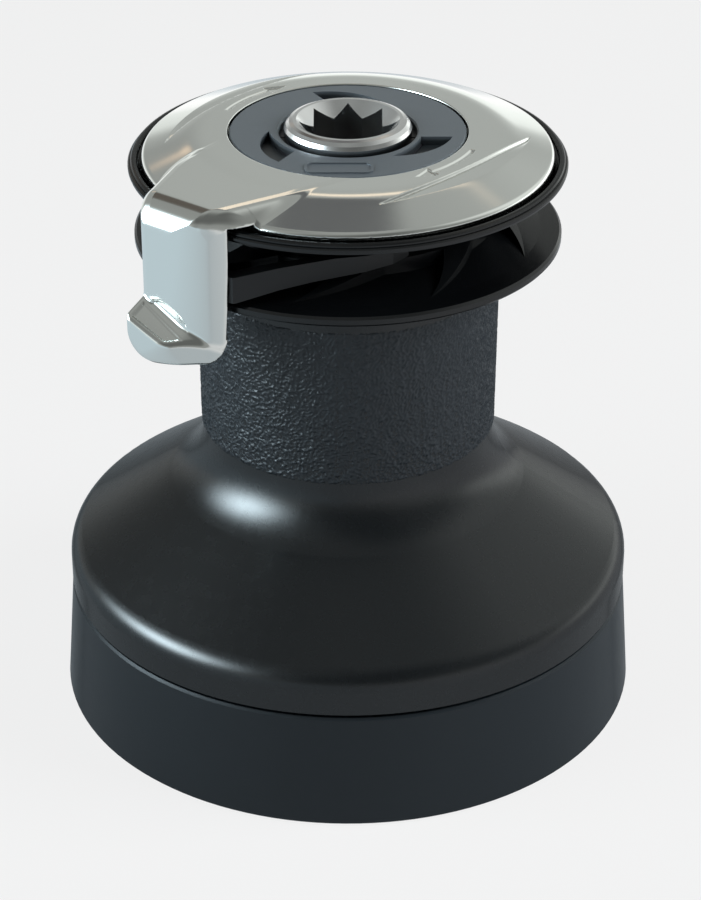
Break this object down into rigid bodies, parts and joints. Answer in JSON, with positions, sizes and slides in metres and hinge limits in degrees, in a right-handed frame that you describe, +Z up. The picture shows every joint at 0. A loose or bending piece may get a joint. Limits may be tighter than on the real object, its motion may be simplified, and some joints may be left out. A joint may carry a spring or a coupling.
{
  "type": "self-tailing winch",
  "caption": "Two-speed self-tailing rope winch with a wide black drum, ribbed rope jaws, a polished feeder arm and a star handle socket.",
  "frame": {"origin": "centre of the base's bottom face, on the drum axis", "axes": "+Z up along the drum axis, -Y towards the front, the feeder arm at the front left"},
  "size_m": [0.156, 0.156, 0.1623],
  "materials": {
    "base_black": "satin",
    "drum_black": "satin",
    "crown_black": "gloss",
    "polished_steel": "polished",
    "spindle_steel": "polished",
    "cap_grey": "satin",
    "stripper_grey": "satin",
    "bronze": "satin",
    "stem_alloy": "satin",
    "gear_steel": "satin",
    "bright_steel": "bright",
    "cage_plastic": "satin",
    "seal_rubber": "matt"
  },
  "bodies": {
    "base": {"base_housing": "base_black", "base_bush": "bronze", "centre_stem": "stem_alloy", "stem_screws": "bright_steel", "idler_a_pin": "gear_steel", "idler_b_pin": "gear_steel", "low_pin": "gear_steel", "thrust_washer": "cage_plastic", "bearing_spacer": "cage_plastic", "bearing_clip": "bright_steel", "upper_bush": "bronze", "spindle_collets": "cage_plastic", "feeder": "polished_steel", "stripper": "stripper_grey", "cap_seal": "seal_rubber", "top_cap": "cap_grey"},
    "drum": {"drum": "drum_black", "ring_gear": "gear_steel", "ring_gear_clip": "bright_steel", "crown_hub": "crown_black", "upper_crown": "crown_black", "crown_screws": "bright_steel", "jaw_springs": "bright_steel"},
    "jaw": {"lower_crown": "crown_black"},
    "spindle": {"main_spindle": "spindle_steel", "drive_gear": "gear_steel", "drive_pawl_springs": "bright_steel"},
    "drive_pawl_a": {"drive_pawl_a": "gear_steel"},
    "drive_pawl_b": {"drive_pawl_b": "gear_steel"},
    "ratchet": {"ratchet_gear": "gear_steel"},
    "idler_a": {"idler_a_gear": "gear_steel"},
    "idler_b": {"idler_b_gear": "gear_steel"},
    "low_drive": {"low_gear": "gear_steel"},
    "pinion": {"low_pinion": "gear_steel", "low_carrier": "gear_steel", "low_pawl_springs": "bright_steel"},
    "low_pawl_a": {"low_pawl_a": "gear_steel"},
    "low_pawl_b": {"low_pawl_b": "gear_steel"},
    "upper_bearing": {"upper_bearing_cage": "cage_plastic", "upper_bearing_rollers": "gear_steel"},
    "lower_bearing": {"lower_bearing_cage": "cage_plastic", "lower_bearing_rollers": "gear_steel"}
  },
  "joints": [
    {"name": "drum_spin", "type": "hinge", "parent": "base", "child": "drum", "pos_m": [0, 0, 0], "axis": [0, 0, 1], "continuous": true},
    {"name": "jaw_slide", "type": "slide", "parent": "drum", "child": "jaw", "axis": [0, 0, 1], "range_m": [-0.003, 0], "stiffness_N_per_m": 4000, "springref_m": 0.004, "deforming": ["jaw_springs"]},
    {"name": "spindle_spin", "type": "hinge", "parent": "base", "child": "spindle", "pos_m": [0, 0, 0], "axis": [0, 0, 1], "continuous": true},
    {"name": "ratchet_spin", "type": "hinge", "parent": "base", "child": "ratchet", "pos_m": [0, 0, 0], "axis": [0, 0, 1], "continuous": true},
    {"name": "idler_a_spin", "type": "hinge", "parent": "base", "child": "idler_a", "pos_m": [0.00223, -0.03581, 0], "axis": [0, 0, 1], "continuous": true},
    {"name": "idler_b_spin", "type": "hinge", "parent": "base", "child": "idler_b", "pos_m": [0.02144, -0.03713, 0], "axis": [0, 0, 1], "continuous": true},
    {"name": "low_gear_spin", "type": "hinge", "parent": "base", "child": "low_drive", "pos_m": [0, 0.042, 0], "axis": [0, 0, 1], "continuous": true},
    {"name": "pinion_spin", "type": "hinge", "parent": "base", "child": "pinion", "pos_m": [0, 0.042, 0], "axis": [0, 0, 1], "continuous": true},
    {"name": "upper_bearing_roll", "type": "hinge", "parent": "base", "child": "upper_bearing", "pos_m": [0, 0, 0], "axis": [0, 0, 1], "continuous": true},
    {"name": "lower_bearing_roll", "type": "hinge", "parent": "base", "child": "lower_bearing", "pos_m": [0, 0, 0], "axis": [0, 0, 1], "continuous": true},
    {"name": "drive_pawl_a_pivot", "type": "hinge", "parent": "spindle", "child": "drive_pawl_a", "pos_m": [0.01203, 0.00438, 0], "axis": [0, 0, 1], "range_deg": [-17, 0], "stiffness_Nm_per_rad": 0.002, "springref_deg": 17.19},
    {"name": "drive_pawl_b_pivot", "type": "hinge", "parent": "spindle", "child": "drive_pawl_b", "pos_m": [-0.01203, -0.00438, 0], "axis": [0, 0, 1], "range_deg": [-17, 0], "stiffness_Nm_per_rad": 0.002, "springref_deg": 17.19},
    {"name": "low_pawl_a_pivot", "type": "hinge", "parent": "pinion", "child": "low_pawl_a", "pos_m": [0.0096, 0.042, 0], "axis": [0, 0, 1], "range_deg": [0, 8], "stiffness_Nm_per_rad": 0.002, "springref_deg": -17.19},
    {"name": "low_pawl_b_pivot", "type": "hinge", "parent": "pinion", "child": "low_pawl_b", "pos_m": [-0.0096, 0.042, 0], "axis": [0, 0, 1], "range_deg": [0, 8], "stiffness_Nm_per_rad": 0.002, "springref_deg": -17.19}
  ],
  "couplings": [
    {"joint": "spindle_spin", "follows": "drum_spin", "ratio": 2},
    {"joint": "ratchet_spin", "follows": "drum_spin", "ratio": 2},
    {"joint": "idler_a_spin", "follows": "drum_spin", "ratio": -5.4545},
    {"joint": "idler_b_spin", "follows": "drum_spin", "ratio": 5.4545},
    {"joint": "low_gear_spin", "follows": "drum_spin", "ratio": -1.6923},
    {"joint": "pinion_spin", "follows": "drum_spin", "ratio": 5},
    {"joint": "upper_bearing_roll", "follows": "drum_spin", "ratio": 0.53964},
    {"joint": "lower_bearing_roll", "follows": "drum_spin", "ratio": 0.53964}
  ]
}
